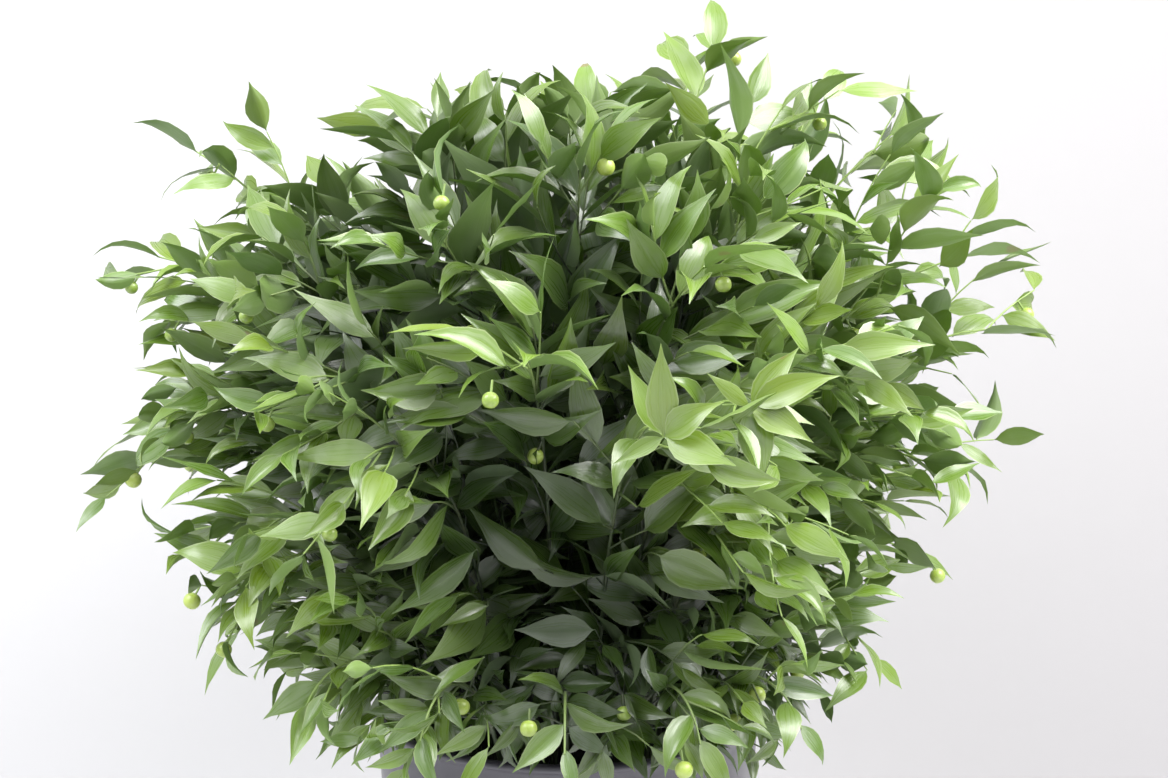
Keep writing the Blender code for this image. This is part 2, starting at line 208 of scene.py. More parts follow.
pot = object_of("round_pot", turned(pot_profile(), POT_STEPS), pot_finish())
pot.data.shade_smooth()
pot.data.set_sharp_from_angle(angle=RIM_CREASE)
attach(pot, "root")
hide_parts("pot")


# The water: still, clear and a little green, well below the rim. Its solid keeps its shape, with a plain
# hole round each stem, and only gets its finish here.

WATER_LEVEL = 0.118
WATER_DARK = (0.70, 0.80, 0.72, 1.0)
WATER_PALE = (0.78, 0.86, 0.80, 1.0)


def water_finish():
    made, tree, skin, _ = new_material("still_water")
    ripple = noise(tree, own_place(tree), 22.0, 1.0)
    colour = mixed(tree, ranged(tree, ripple, 0.3, 0.7), WATER_DARK, WATER_PALE)
    inputs = {"Base Color": colour, "Roughness": 0.03, "IOR": 1.333, "Transmission Weight": 1.0}
    set_inputs(tree, skin, inputs)
    relief(tree, skin, ripple, 0.08, 0.002)
    return made


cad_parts["water"].data.materials.clear()
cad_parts["water"].data.materials.append(water_finish())


# The stems: fifty and more slender cut stems, which stand close together in the water, rise clear of the
# rim and arch over to all sides. They make one rounded crown, with single sprigs that stand out of it.

UP = Vector((0.0, 0.0, 1.0))
TO_VIEWER = Vector((0.0, -1.0, 0.0))
CROWN_CENTRE = Vector((0.0, 0.0, 0.360))
CROWN_FOOT = Vector((0.0, 0.0, POT_HEIGHT))
CROWN_RADIUS = 0.232
CROWN_RISE = 0.178
CROWN_DROP = 0.215
LOWEST_COSINE = -0.62
LEAF_REACH = 0.038
GOLDEN_ANGLE = math.pi * (3.0 - math.sqrt(5.0))
CLEARANCE = 0.0003
STEM_COUNT = 53
STANDING_RADIUS = 0.084
STANDING_GAP = 0.0115
SPREADING_ROUNDS = 200
SPRIG_GAP = 0.062
STEM_RINGS = 7
STEM_CLEARANCE = 0.0052
BARE_ABOVE_WATER = 0.004
RISE_SHARE = 0.36
RISE_BASE = 0.028
LEAST_RISE = 0.110
ARCH_SHARE = 0.30
LEAST_ARCH = 0.050
LIFT_PER_TURN = 1.15
SWING_STEP = math.radians(5.0)
SWINGS = 9
PARTS_MEASURED = 8
STRAY_REACHES = (
    (-0.245, 0.120, 0.500),
    (-0.264, 0.060, 0.435),
    (-0.257, -0.020, 0.330),
    (-0.190, -0.100, 0.240),
    (-0.193, -0.050, 0.208),
    (-0.088, -0.020, 0.535),
    (-0.050, 0.030, 0.540),
    (0.016, 0.040, 0.544),
    (0.094, 0.070, 0.578),
    (0.135, 0.010, 0.545),
    (0.206, 0.050, 0.520),
    (0.224, 0.020, 0.482),
    (0.243, -0.040, 0.450),
    (0.276, 0.010, 0.392),
    (0.230, -0.020, 0.310),
    (0.214, 0.000, 0.240),
    (0.178, -0.070, 0.196),
    (-0.140, -0.150, 0.196),
    (-0.075, -0.190, 0.192),
    (0.000, -0.205, 0.190),
    (0.070, -0.195, 0.192),
    (0.125, -0.165, 0.190),
    (0.053, -0.235, 0.370),
    (0.100, -0.220, 0.385),
    (-0.024, -0.225, 0.415),
    (-0.110, -0.205, 0.350),
)
HOLLOW_TOWARDS = Vector((0.02, -0.95, -0.32)).normalized()
HOLLOW_HALF_ANGLE = math.radians(20.0)


def crown_point(cosine, turn):
    """A point on the crown's surface, by the cosine of its angle from the vertical and its turn."""
    ring = math.sqrt(1.0 - cosine * cosine) * CROWN_RADIUS
    height = cosine * (CROWN_RISE if cosine > 0.0 else CROWN_DROP)
    return CROWN_CENTRE + Vector((ring * math.cos(turn), ring * math.sin(turn), height))


def polar_of(reach):
    """The angle of a point of the crown from the vertical, as if the crown were a ball."""
    away = reach - CROWN_CENTRE
    tall = CROWN_RISE if away.z > 0.0 else CROWN_DROP
    return math.atan2(math.hypot(away.x, away.y), away.z * CROWN_RADIUS / tall)


def heading_at(reach):
    """The direction that a sprig points in where it ends."""
    outward = Vector((reach.x, reach.y, 0.0)).normalized()
    lift = math.radians(90.0) - LIFT_PER_TURN * polar_of(reach)
    return outward * math.cos(lift) + UP * math.sin(lift)


def in_hollow(reach):
    away = (reach - CROWN_CENTRE).normalized()
    return away.angle(HOLLOW_TOWARDS) < HOLLOW_HALF_ANGLE


def sprig_reaches():
    """The stray sprigs first, then sprigs spread evenly over the rest of the crown."""
    spread = STEM_COUNT - len(STRAY_REACHES)
    while True:
        found = [Vector(reach) for reach in STRAY_REACHES]
        for k in range(spread):
            cosine = 1.0 - (1.0 - LOWEST_COSINE) * (k + 0.5) / spread
            reach = crown_point(cosine, k * GOLDEN_ANGLE)
            nearest = min((reach - other).length for other in found)
            if nearest > SPRIG_GAP and not in_hollow(reach):
                found.append(reach)
        if len(found) >= STEM_COUNT:
            return found[:STEM_COUNT]
        spread += 1


def standing_points(reaches):
    """Where each stem stands in the pot: upright stems in the middle, spreading ones near the wall."""
    order = sorted(range(len(reaches)), key=lambda k: polar_of(reaches[k]))
    points = [None] * len(reaches)
    for rank, k in enumerate(order):
        ring = STANDING_RADIUS * math.sqrt((rank + 0.5) / len(reaches))
        turn = math.atan2(reaches[k].y, reaches[k].x)
        points[k] = Vector((ring * math.cos(turn), ring * math.sin(turn)))
    for _ in range(SPREADING_ROUNDS):
        for i, a in enumerate(points):
            for b in points[i + 1 :]:
                apart = a - b
                short = STANDING_GAP - apart.length
                if short > 0:
                    push = apart.normalized() * short * 0.5
                    a += push
                    b -= push
        for point in points:
            if point.length > STANDING_RADIUS:
                point *= STANDING_RADIUS / point.length
    return points


def bezier(a, b, c, d, t):
    u = 1.0 - t
    return a * u**3 + b * (3 * u * u * t) + c * (3 * u * t * t) + d * t**3


def stem_route(stand, reach, swing, rings):
    """Points of one stem from the cut end up: straight in the water, then one smooth arching curve."""
    foot = Vector((stand.x, stand.y, POT_FLOOR + CLEARANCE))
    surface = Vector((stand.x, stand.y, WATER_LEVEL + BARE_ABOVE_WATER))
    heading = heading_at(reach)
    tip = reach - heading * LEAF_REACH
    span = (tip - surface).length
    rise = surface + UP * max(RISE_SHARE * span + RISE_BASE, LEAST_RISE)
    bend = tip - heading * max(ARCH_SHARE * span, LEAST_ARCH)
    bend = CROWN_CENTRE + Matrix.Rotation(swing, 3, "Z") @ (bend - CROWN_CENTRE)
    curve = [bezier(surface, rise, bend, tip, k / rings) for k in range(rings + 1)]
    return [foot] + curve


def close_points(route):
    """Points along a route above the water, close enough together to measure its gaps to other routes."""
    above = route[1:]
    shares = [k / PARTS_MEASURED for k in range(PARTS_MEASURED)]
    return [a.lerp(b, share) for a, b in zip(above, above[1:]) for share in shares]


def route_gap(points, others):
    """Least distance between the points of two routes."""
    return min((a - b).length for a in points for b in others)


def stem_courses():
    """The standing point, reach and swing of every stem, with each swung clear of the earlier ones."""
    reaches = sprig_reaches()
    courses, measured = [], []
    for stand, reach in zip(standing_points(reaches), reaches):
        best = None
        for step in range(SWINGS):
            swing = SWING_STEP * ((step + 1) // 2) * (1 if step % 2 else -1)
            points = close_points(stem_route(stand, reach, swing, STEM_RINGS))
            gap = min((route_gap(points, other) for other in measured), default=1.0)
            if best is None or gap > best[0]:
                best = (gap, (stand, reach, swing), points)
            if gap > STEM_CLEARANCE:
                break
        courses.append(best[1])
        measured.append(best[2])
    return courses


courses = stem_courses()
routes = [stem_route(*course, STEM_RINGS) for course in courses]


# The leaves' places: they stand alternately along each stem, and arch, sweep and twist a little. Of the
# leaves that may be drawn for a place, the one is taken whose tip is a corner of the stem's solid, where it
# was found to be clear of all else. Two sprigs that face the viewer end in a fan of broad young leaves.

LEAF_LENGTH = 0.058
LEAF_SIZES = (0.80, 1.16)
END_LEAF_SIZE = 0.80
LEAF_SLENDERNESS = (0.30, 0.42)
LEAF_SPLAY = (34.0, 62.0)
END_LEAF_SPLAY = (14.0, 30.0)
LEAF_RISE = 0.12
LEAF_ROLL = 38.0
LEAF_ARCH = (10.0, 66.0)
LEAF_SWEEP = 0.09
LEAF_TWIST = 22.0
LEAF_SPOTS = (0.003, 0.016, 0.032, 0.050, 0.071, 0.096, 0.125, 0.158, 0.195, 0.235, 0.280)
LEAF_TRIES = 24
STRETCH = 0.012
FROM_ABOVE = 0.8
FROM_OUTSIDE = 0.35
LEAST_ABOVE = 0.25
LEAN = 30.0
LEAN_UPRIGHT = 70.0
FACE_TO_LIGHT = 0.9
FACE_OUT = 0.5
LEAST_FACE = 0.2
CHORD_BEND = 0.4
SAME_CORNER = 0.0001
FINE_LEAF_SIZE = 0.72
FINE_END_SIZE = 0.84
FINE_LEAF_WIDTH = 0.97
FINE_LEAF_ROLL = 40.0
SMALL_BELOW = 0.290
SMALLEST_SHARE = 0.70
LARGE_ABOVE = 0.380
LARGEST_AT = 0.480
LARGEST_SHARE = 1.22
FANS = {22: 0.0, 23: -66.0}
FAN_LEAVES = (
    (94.0, 0.25, 0.044, 0.0150),
    (44.0, 0.55, 0.034, 0.0145),
    (-12.0, 0.60, 0.037, 0.0170),
    (118.0, -0.20, 0.036, 0.0120),
    (206.0, 0.30, 0.026, 0.0080),
)


def solid_corners(name):
    """A search tree of the corners of one solid of the frame."""
    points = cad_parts[name].data.vertices
    corners = KDTree(len(points))
    for k, point in enumerate(points):
        corners.insert(point.co, k)
    corners.balance()
    return corners


def back_from_tip(route, distance):
    """The point at a distance back along a stem from its tip, no further down than the water."""
    for near, far in zip(route[:0:-1], route[-2:0:-1]):
        step = (near - far).length
        if distance <= step:
            return near.lerp(far, distance / step)
        distance -= step
    return route[1].copy()


def direction_at(route, distance):
    """The stem's direction near a point, averaged over a short stretch."""
    ahead = back_from_tip(route, max(distance - STRETCH, 0.0))
    return (ahead - back_from_tip(route, distance + STRETCH)).normalized()


def leaf_at(rng, route, rank, distance):
    """A leaf drawn at random for one place on a stem: alternate, splayed, its face to the light."""
    root = back_from_tip(route, distance)
    tangent = direction_at(route, distance)
    outward = (root - CROWN_CENTRE).normalized()
    light = (UP * FROM_ABOVE + outward * FROM_OUTSIDE).normalized()
    above = light - tangent * light.dot(tangent)
    if above.length < LEAST_ABOVE:
        above = TO_VIEWER - tangent * TO_VIEWER.dot(tangent)
    above.normalize()
    hand = 1.0 if rank % 2 else -1.0
    lean = rng.uniform(-1.0, 1.0) * math.radians(LEAN + LEAN_UPRIGHT * max(tangent.z, 0.0) ** 2)
    around = tangent.cross(above) * (hand * math.cos(lean)) + above * math.sin(lean)
    splay = math.radians(rng.uniform(*(LEAF_SPLAY if rank else END_LEAF_SPLAY)))
    spread = (root - CROWN_FOOT).normalized()
    along = (tangent * math.cos(splay) + around * math.sin(splay) + spread * LEAF_RISE).normalized()
    face = light * FACE_TO_LIGHT + outward * FACE_OUT
    up = face - along * face.dot(along)
    if up.length < LEAST_FACE:
        up = above - along * above.dot(along)
    up = Matrix.Rotation(math.radians(rng.uniform(-LEAF_ROLL, LEAF_ROLL)), 3, along) @ up.normalized()
    length = LEAF_LENGTH * (1.0 if rank else END_LEAF_SIZE) * rng.uniform(*LEAF_SIZES)
    return {
        "root": root,
        "along": along,
        "up": up,
        "side": along.cross(up),
        "length": length,
        "width": length * rng.uniform(*LEAF_SLENDERNESS),
        "arch": math.radians(rng.uniform(*LEAF_ARCH)),
        "sweep": rng.uniform(-LEAF_SWEEP, LEAF_SWEEP),
        "twist": math.radians(rng.uniform(-LEAF_TWIST, LEAF_TWIST)),
    }


def leaf_rib(leaf, share):
    """A point of the rib, and the directions across and up from it: a leaf arches, sweeps and twists."""
    bend = leaf["arch"] * share**1.5
    reach = leaf["length"] * share
    point = (
        leaf["root"]
        + leaf["along"] * (reach * math.cos(CHORD_BEND * bend))
        - leaf["up"] * (reach * math.sin(CHORD_BEND * bend))
        + leaf["side"] * (leaf["sweep"] * leaf["length"] * share * share)
    )
    up = leaf["along"] * math.sin(bend) + leaf["up"] * math.cos(bend)
    twist = leaf["twist"] * share
    across = leaf["side"] * math.cos(twist) + up * math.sin(twist)
    lifted = up * math.cos(twist) - leaf["side"] * math.sin(twist)
    return point, across, lifted


def resized(leaf, size):
    """A leaf at its fine size: the upper leaves are the largest, and those near the rim the smallest."""
    low = min(max((SMALL_BELOW - leaf["root"].z) / (SMALL_BELOW - POT_HEIGHT), 0.0), 1.0)
    high = min(max((leaf["root"].z - LARGE_ABOVE) / (LARGEST_AT - LARGE_ABOVE), 0.0), 1.0)
    size *= 1.0 + (SMALLEST_SHARE - 1.0) * low + (LARGEST_SHARE - 1.0) * high
    return leaf | {"length": leaf["length"] * size, "width": leaf["width"] * size * FINE_LEAF_WIDTH}


def rolled(rng, leaf, most):
    """A leaf rolled about its own length to either side, by so many degrees at most."""
    side = Matrix.Rotation(math.radians(rng.uniform(-most, most)), 3, leaf["along"]) @ leaf["side"]
    return leaf | {"side": side, "up": side.cross(leaf["along"])}


def leaves_of(k, route, corners):
    """The leaves of one stem's solid, tip first, at their fine size."""
    grown = []
    for rank, distance in enumerate(LEAF_SPOTS):
        rng = random.Random(1000 * k + rank)
        for _ in range(LEAF_TRIES):
            leaf = leaf_at(rng, route, rank, distance)
            if corners.find(leaf_rib(leaf, 1.0)[0])[2] < SAME_CORNER:
                leaf = rolled(rng, leaf, FINE_LEAF_ROLL)
                grown.append(resized(leaf, FINE_LEAF_SIZE if rank else FINE_END_SIZE))
                break
    return grown


def fan_of(route, turn):
    """A fan of broad young leaves at a sprig's end, open to the viewer and leaning by turn, in degrees."""
    grown = []
    for angle, nearer, length, width in FAN_LEAVES:
        lean = math.radians(angle + turn)
        along = Vector((math.cos(lean), -nearer, math.sin(lean))).normalized()
        side = along.cross(TO_VIEWER + UP * 0.5).normalized()
        form = {"length": length, "width": width, "arch": 0.35, "sweep": 0.04, "twist": 0.1}
        grown.append({"root": route[-1], "along": along, "side": side, "up": side.cross(along)} | form)
    return grown


solids = [solid_corners(f"leafy_stem_{k + 1:02d}") for k in range(STEM_COUNT)]
leaves = [leaves_of(*known) for known in zip(range(STEM_COUNT), routes, solids)]
for k, turn in FANS.items():
    leaves[k] = fan_of(routes[k], turn) + leaves[k][3:]


# The side shoots: thin twigs that leave a stem between its leaves, each with a feather of smaller leaves.
# They make the crown full, leave its hollow free and droop past the pot's rim. Some of the stray stems'
# reach further, and stand out of the crown as single sprigs.

SHOOT_SPACING = 0.0125
RIM_SPACING = 0.0065
RIM_REGION = POT_HEIGHT + 0.045
FIRST_SHOOT = 0.014
SHOOT_LENGTH = (0.042, 0.090)
SHOOT_SPLAY = (26.0, 54.0)
SHOOT_STEPS = 6
KEEPS_WAY = 0.65
TURNS_OUT = 0.55
LONGEST_LEAFY = 0.40
SHOOT_LEAF_GAP = 0.0105
SHOOT_LEAF_SIZES = (0.54, 0.74)
SHOOT_LEAF_WIDTH = 1.02
INNER_SHARE = 0.62
INNER_GROWTH = 1.30
SHOOT_LEAF_ROLL = 88.0
SHOOT_LEAF_ARCH = 0.60
SHOOT_SWEEP_OUT = 0.30
SHOOT_STRAY = 0.34
STEEPEST_DROP = -0.40
SHOOT_TRIES = 12
LOWEST_SHOOT = POT_HEIGHT + 0.006
SHOOT_LIMIT = 1.08
SHELL = 1.015
SKIRT_WIDTH = 0.238
SKIRT_DRAWN_IN = 0.56
SKIRT_RIGHT = 0.08
SKIRT_FORWARD = 0.26
RIGHT_DRAWN_IN = 0.10
FREE_STEMS = (0, 1, 2, 8, 9, 10, 11, 12, 13, 14)
FREE_EVERY = 3
FREE_REACH = 0.20
DENTS = (
    (Vector((0.02, -0.95, -0.32)).normalized(), math.radians(26.0), 0.55),
    (Vector((-0.06, -0.99, 0.05)).normalized(), math.radians(20.0), 0.66),
    (Vector((0.14, -0.94, 0.30)).normalized(), math.radians(18.0), 0.70),
)
RIM_ROOM = 0.005
RIB_CHECKS = (0.2, 0.4, 0.6, 0.8, 1.0)
SHEET_ROWS = (0.36, 0.72)
NEIGHBOUR = 0.045


def crown_share(point):
    """How far out a point lies, from 0 at the crown's centre to 1 at its surface."""
    away = point - CROWN_CENTRE
    tall = CROWN_RISE if away.z > 0.0 else CROWN_DROP
    return math.sqrt((away.x**2 + away.y**2) / CROWN_RADIUS**2 + (away.z / tall) ** 2)


def sprig_way(place):
    """The way that a side shoot and its leaves turn to: as sprigs do there, but never steeply down."""
    way = heading_at(place)
    way.z = max(way.z, STEEPEST_DROP)
    return way.normalized()


def shoot_route(rng, route, rank, distance, limit):
    """Points of one side shoot: it splays from the stem and bends outwards, up to a share of the crown."""
    start = back_from_tip(route, distance)
    tangent = direction_at(route, distance)
    side = tangent.orthogonal().normalized()
    turn = rank * GOLDEN_ANGLE + rng.uniform(-0.5, 0.5)
    around = side * math.cos(turn) + tangent.cross(side) * math.sin(turn)
    splay = math.radians(rng.uniform(*SHOOT_SPLAY))
    leaving = tangent * math.cos(splay) + around * math.sin(splay)
    ending = (leaving * KEEPS_WAY + sprig_way(start) * TURNS_OUT).normalized()
    length = rng.uniform(*SHOOT_LENGTH)
    while length > SHOOT_LENGTH[0] * 0.5 and crown_share(start + leaving * length) > limit:
        length *= 0.9
    middle = start + leaving * (length * 0.5)
    end = middle + ending * (length * 0.5)
    shares = [k / SHOOT_STEPS for k in range(SHOOT_STEPS + 1)]
    return [start] + [start.lerp(middle, t).lerp(middle.lerp(end, t), t) for t in shares]


def swept_out(rng, leaf):
    """A side shoot's leaf: turned further to the way that sprigs point there, and rolled to either side."""
    stray = Vector([rng.uniform(-SHOOT_STRAY, SHOOT_STRAY) for _ in range(3)])
    along = (leaf["along"].lerp(sprig_way(leaf["root"]), SHOOT_SWEEP_OUT) + stray).normalized()
    form = {"width": leaf["width"] * SHOOT_LEAF_WIDTH, "arch": leaf["arch"] * SHOOT_LEAF_ARCH}
    turned_leaf = leaf | form | {"along": along, "side": along.cross(leaf["up"]).normalized()}
    return rolled(rng, turned_leaf, SHOOT_LEAF_ROLL)


def clear_of_pot(leaf):
    """Whether a leaf stays out of the pot's wall and mouth."""
    for share in RIB_CHECKS:
        point = leaf_rib(leaf, share)[0]
        if point.z < POT_HEIGHT + RIM_ROOM and math.hypot(point.x, point.y) < RIM_RADIUS + RIM_ROOM:
            return False
    return True


def leaf_sheet(leaf):
    """A leaf as a few flat facets, to find what it would cut through."""
    rows = []
    for share in SHEET_ROWS:
        point, across, _ = leaf_rib(leaf, share)
        half = leaf["width"] / 2 * blade_width(share)
        rows += [point - across * half, point + across * half]
    corners = [leaf_rib(leaf, 0.10)[0], *rows, leaf_rib(leaf, 1.0)[0]]
    return BVHTree.FromPolygons(corners, ((0, 2, 1), (1, 2, 4, 3), (3, 4, 5)))


def middle_of(leaf):
    """The middle of a leaf's rib."""
    return leaf_rib(leaf, 0.5)[0]


def cell_at(place):
    """The cell of the crowd that a place lies in."""
    return tuple(math.floor(v / NEIGHBOUR) for v in place)


def neighbours(crowd, place):
    """The sheets of the leaves whose middles lie near a place."""
    cell = cell_at(place)
    for step in itertools.product((-1, 0, 1), repeat=3):
        for middle, sheet in crowd.get(tuple(map(sum, zip(cell, step))), ()):
            if (middle - place).length < NEIGHBOUR:
                yield sheet


def settle(crowd, leaf):
    """Adds a leaf to the crowd."""
    middle = middle_of(leaf)
    crowd.setdefault(cell_at(middle), []).append((middle, leaf_sheet(leaf)))


def side_shoots(k, route, crowd):
    """The side shoots of one stem, each with the leaves that found room. Some stray ones reach further."""
    grown = []
    distance, rank = FIRST_SHOOT, 0
    while back_from_tip(route, distance).z > LOWEST_SHOOT and distance < LONGEST_LEAFY:
        rng = random.Random(50000 + 100 * k + rank)
        start = back_from_tip(route, distance)
        further = FREE_REACH if k in FREE_STEMS and rank % FREE_EVERY == 0 else 0.0
        if crown_share(start) < SHOOT_LIMIT + further:
            shoot = shoot_route(rng, route, rank, distance, SHOOT_LIMIT + further)
            own = shoot_leaves(rng, shoot, crowd, further)
            if own:
                grown.append((shoot, own))
        distance += RIM_SPACING if start.z < RIM_REGION else SHOOT_SPACING
        rank += 1
    return grown


def out_of_bounds(tip, further):
    """Whether a leaf's tip would stand out of the crown by more than it may, or in one of its dents."""
    share = crown_share(tip)
    way = (tip - CROWN_CENTRE).normalized()
    if any(way.angle(towards) < opening and share > depth for towards, opening, depth in DENTS):
        return True
    if way.z > 0.0:
        return share > SHELL + (further or -RIGHT_DRAWN_IN * max(way.x, 0.0))
    skirt = SKIRT_WIDTH - SKIRT_DRAWN_IN * (CROWN_CENTRE.z - tip.z)
    skirt += SKIRT_FORWARD * max(-tip.y, 0.0) - SKIRT_RIGHT * max(tip.x, 0.0)
    return math.hypot(tip.x, tip.y) > min(skirt, SHELL * CROWN_RADIUS) + further * CROWN_RADIUS


def shoot_leaves(rng, shoot, crowd, further):
    """Leaves along a side shoot, each drawn again while it would cut through another."""
    own = []
    length = (shoot[-1] - shoot[0]).length
    for spot in range(int(length / SHOOT_LEAF_GAP)):
        for _ in range(SHOOT_TRIES):
            leaf = swept_out(rng, leaf_at(rng, shoot, spot, 0.001 + spot * SHOOT_LEAF_GAP))
            grown_by = INNER_GROWTH if crown_share(leaf["root"]) < INNER_SHARE else 1.0
            leaf = resized(leaf, rng.uniform(*SHOOT_LEAF_SIZES) * grown_by)
            if out_of_bounds(leaf_rib(leaf, 1.0)[0], further) or not clear_of_pot(leaf):
                continue
            sheet = leaf_sheet(leaf)
            if not any(sheet.overlap(other) for other in neighbours(crowd, middle_of(leaf))):
                own.append(leaf)
                settle(crowd, leaf)
                break
    return own


SHOULDER = 0.92
TAPER = 1.68
FULLEST = SHOULDER / (SHOULDER + TAPER)
STALK_SHARE = 0.045


def blade_width(share):
    """Half-width of a blade at a share of its length, as a share of its greatest half-width."""
    if share <= STALK_SHARE:
        return 0.0
    t = (share - STALK_SHARE) / (1.0 - STALK_SHARE)
    return t**SHOULDER * (1.0 - t) ** TAPER / (FULLEST**SHOULDER * (1.0 - FULLEST) ** TAPER)


crowd = {}
for own in leaves:
    for leaf in own:
        settle(crowd, leaf)
shoots = [side_shoots(k, route, crowd) for k, route in enumerate(routes)]


# The blades: leathery, satin and pointed, widest a third of the way up, with fine veins from end to end, a
# thin pale edge, a wax bloom with painted sheen, and painted shade that darkens them the deeper they lie in
# the bunch. Each is one closed thin shape, drawn out of a flat blank and bent along its leaf's rib.

BLADE_COLUMNS = 4
BLADE_ROWS = (0.0, 0.05, 0.14, 0.26, 0.40, 0.55, 0.71, 0.86, 1.0)
BLADE_THICKNESS = 0.00045
STALK_HALF_WIDTH = 0.0006
BLADE_CUP = (-0.12, 0.62)
BLADE_RUFFLE = (0.02, 0.12)
BLADE_WAVES = (1.0, 2.3)
TIP_CURL = (-0.5, 1.1)
CURL_FROM = 0.55
SHADED = (0.200, 0.112)
SHADED_CENTRE = Vector((-0.030, 0.0, 0.356))
SHADED_MOUTH = Vector((0.01, -0.05, 0.212))
MOUTH_IS_SMALLER = 0.028
OLD_DARK = (0.060, 0.140, 0.012, 1.0)
OLD_PALE = (0.172, 0.304, 0.028, 1.0)
YOUNG_AND_LIT = (0.166, 0.250, 0.010, 1.0)
PATCH = (0.132, 0.242, 0.024, 1.0)
VEIN = (0.206, 0.310, 0.072, 1.0)
WAX_AND_SHEEN = (0.320, 0.385, 0.250, 1.0)
RIB = (0.240, 0.360, 0.120, 1.0)
DRY_SPOT = (0.220, 0.150, 0.050, 1.0)
PALE_EDGE = (0.310, 0.395, 0.150, 1.0)
SHADED_GREEN = (0.008, 0.020, 0.005, 1.0)
BLOOM_AND_SHEEN = (0.30, 0.38, 0.25, 1.0)
LIT_THROUGH = (0.205, 0.322, 0.030, 1.0)
SHINES_THROUGH = 0.34
DRYNESS = 0.80
SHADE = 0.84


def new_growth():
    """An empty bmesh with the layers that the leaves carry: their own coordinates, tone, and how young they
    look with painted light added.
    """
    bm = bmesh.new()
    bm.loops.layers.uv.new("UVMap")
    for name in ("tone", "youth_and_light"):
        bm.verts.layers.float.new(name)
    return bm


def leaf_blank():
    """A flat blank one unit long: an upper and a lower face in two materials, joined at the edge."""
    bm = new_growth()
    rows = len(BLADE_ROWS) - 1
    bmesh.ops.create_grid(bm, x_segments=BLADE_COLUMNS, y_segments=rows, size=0.5)
    layer = bm.loops.layers.uv["UVMap"]
    for face in bm.faces:
        face.smooth = True
        for loop in face.loops:
            place = loop.vert.co
            loop[layer].uv = (place.x + 0.5, BLADE_ROWS[round((place.y + 0.5) * rows)])
    copy = bmesh.ops.duplicate(bm, geom=bm.faces[:])["geom"]
    under = [face for face in copy if isinstance(face, bmesh.types.BMFace)]
    bmesh.ops.reverse_faces(bm, faces=under)
    for face in under:
        face.material_index = 1
    edge = [vert for vert in bm.verts if max(abs(vert.co.x), abs(vert.co.y)) > 0.499]
    for vert in copy:
        if isinstance(vert, bmesh.types.BMVert) and vert not in edge:
            vert.co.z = -1.0
    bmesh.ops.remove_doubles(bm, verts=edge, dist=1e-5)
    for end in (-0.5, 0.5):
        row = [vert for vert in bm.verts if abs(vert.co.y - end) < 1e-4]
        bmesh.ops.pointmerge(bm, verts=row, merge_co=(0.0, end, 0.0))
    mesh = bpy.data.meshes.new("leaf_blank")
    bm.to_mesh(mesh)
    bm.free()
    return mesh


def add_blade(bm, blank, rng, leaf, youth_and_light):
    """One leaf: a copy of the blank, bent along the leaf's rib, with its own tone, and how young it looks
    with painted light added.
    """
    tone_layer = bm.verts.layers.float["tone"]
    youth_and_light_layer = bm.verts.layers.float["youth_and_light"]
    tone = rng.random()
    cup = rng.uniform(*BLADE_CUP)
    wave = rng.uniform(*BLADE_RUFFLE)
    phase = rng.uniform(0.0, math.tau)
    waves = rng.uniform(*BLADE_WAVES)
    curl = rng.uniform(*TIP_CURL)
    before = len(bm.verts)
    bm.from_mesh(blank)
    bm.verts.ensure_lookup_table()
    ribs = []
    for share in BLADE_ROWS:
        point, across, up = leaf_rib(leaf, share)
        drop = curl * max(share - CURL_FROM, 0.0) ** 2 * leaf["length"]
        half = leaf["width"] / 2 * blade_width(share)
        if 0.0 < share < 0.5:
            half = max(half, STALK_HALF_WIDTH)
        ribs.append((share, point - up * drop, across, up, half))
    for vert in bm.verts[before:]:
        share, point, across, up, half = ribs[round((vert.co.y + 0.5) * (len(BLADE_ROWS) - 1))]
        side = vert.co.x * 2.0
        ruffle = wave * half * side * abs(side) * math.sin(share * waves * math.tau + phase)
        height = cup * half * (0.6 * abs(side) + 0.4 * side * side) + ruffle
        depth = vert.co.z * min(BLADE_THICKNESS, half) * (1.0 - 0.5 * abs(side))
        vert.co = point + across * (half * side) + up * (height + depth)
        vert[tone_layer] = tone
        vert[youth_and_light_layer] = youth_and_light


def distance_from(tree, place, centre):
    """How far a place lies from a centre."""
    inputs = {0: place, 1: centre}
    return node_of(tree, "ShaderNodeVectorMath", inputs, operation="DISTANCE").outputs["Value"]


def inside(tree, place):
    """How deep a place lies in the shaded inside of the bunch, near its centre or the pot's mouth: the mask
    of painted shade.
    """
    from_centre = distance_from(tree, place, SHADED_CENTRE)
    from_mouth = calculated(tree, "ADD", distance_from(tree, place, SHADED_MOUTH), MOUTH_IS_SMALLER)
    return ranged(tree, calculated(tree, "MINIMUM", from_centre, from_mouth), *SHADED)


def carried(tree, name):
    """A value that each leaf or berry carries in its mesh."""
    return node_of(tree, "ShaderNodeAttribute", attribute_name=name).outputs["Fac"]


def leaf_noise(tree, parts, tone, across, along, apart):
    """Noise with so many cells across and along a leaf, and new on each leaf."""
    inputs = {
        "X": calculated(tree, "MULTIPLY", parts.outputs["X"], across),
        "Y": calculated(tree, "MULTIPLY", parts.outputs["Y"], along),
        "Z": calculated(tree, "MULTIPLY", tone, apart),
    }
    return noise(tree, node_of(tree, "ShaderNodeCombineXYZ", inputs).outputs["Vector"], 1.0, 1.0)


